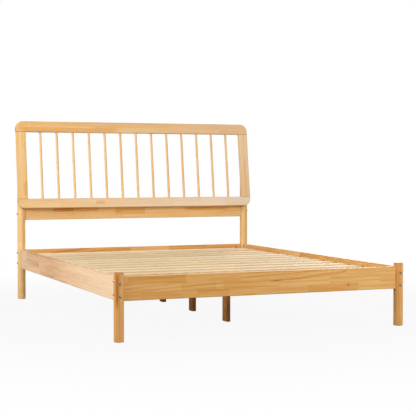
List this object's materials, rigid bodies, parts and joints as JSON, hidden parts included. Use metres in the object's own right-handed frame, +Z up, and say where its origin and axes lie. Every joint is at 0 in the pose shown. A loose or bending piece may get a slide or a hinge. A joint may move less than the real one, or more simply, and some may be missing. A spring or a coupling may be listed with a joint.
{
  "type": "bed frame",
  "caption": "Wooden bed frame for a queen mattress: round posts, bolted plank rails, slats on a centre beam with plank legs, and a leaning headboard of round spindles.",
  "frame": {"origin": "on the floor, under the middle of the whole frame", "axes": "+Z up, +Y from the foot of the bed towards the headboard, +X to the right seen from the foot"},
  "size_m": [1.674, 2.1394, 1.1754],
  "materials": {
    "frame_wood": "satin clear lacquer over honey-toned solid wood glued up from staves",
    "slat_wood": "planed bare pine",
    "fastener_steel": "bright zinc plate",
    "hanger_steel": "galvanised sheet, satin"
  },
  "bodies": {
    "root": {"barrel_nuts": "fastener_steel", "beam_hanger_foot": "hanger_steel", "beam_hanger_head": "hanger_steel", "centre_beam": "slat_wood", "centre_leg_foot": "frame_wood", "centre_leg_head": "frame_wood", "centre_leg_middle": "frame_wood", "cross_rail": "frame_wood", "hanger_screws": "fastener_steel", "headboard_bolts": "fastener_steel", "headboard_bottom_rail": "frame_wood", "headboard_dowels": "slat_wood", "headboard_inserts": "fastener_steel", "headboard_stile_left": "frame_wood", "headboard_stile_right": "frame_wood", "headboard_top_rail": "frame_wood", "ledger_left": "slat_wood", "ledger_right": "slat_wood", "ledger_screws": "fastener_steel", "leg_bolts": "fastener_steel", "leg_sleeve_nuts": "fastener_steel", "post_foot_left": "frame_wood", "post_foot_right": "frame_wood", "post_head_left": "frame_wood", "post_head_right": "frame_wood", "rail_bolts": "fastener_steel", "rail_foot": "frame_wood", "rail_head": "frame_wood", "rail_left": "frame_wood", "rail_right": "frame_wood", "slat_01": "slat_wood", "slat_02": "slat_wood", "slat_03": "slat_wood", "slat_04": "slat_wood", "slat_05": "slat_wood", "slat_06": "slat_wood", "slat_07": "slat_wood", "slat_08": "slat_wood", "slat_09": "slat_wood", "slat_10": "slat_wood", "slat_11": "slat_wood", "slat_12": "slat_wood", "slat_13": "slat_wood", "slat_screws": "fastener_steel", "spindle_01": "frame_wood", "spindle_02": "frame_wood", "spindle_03": "frame_wood", "spindle_04": "frame_wood", "spindle_05": "frame_wood", "spindle_06": "frame_wood", "spindle_07": "frame_wood", "spindle_08": "frame_wood", "spindle_09": "frame_wood", "spindle_10": "frame_wood", "spindle_11": "frame_wood", "spindle_12": "frame_wood", "spindle_13": "frame_wood"}
  },
  "joints": []
}
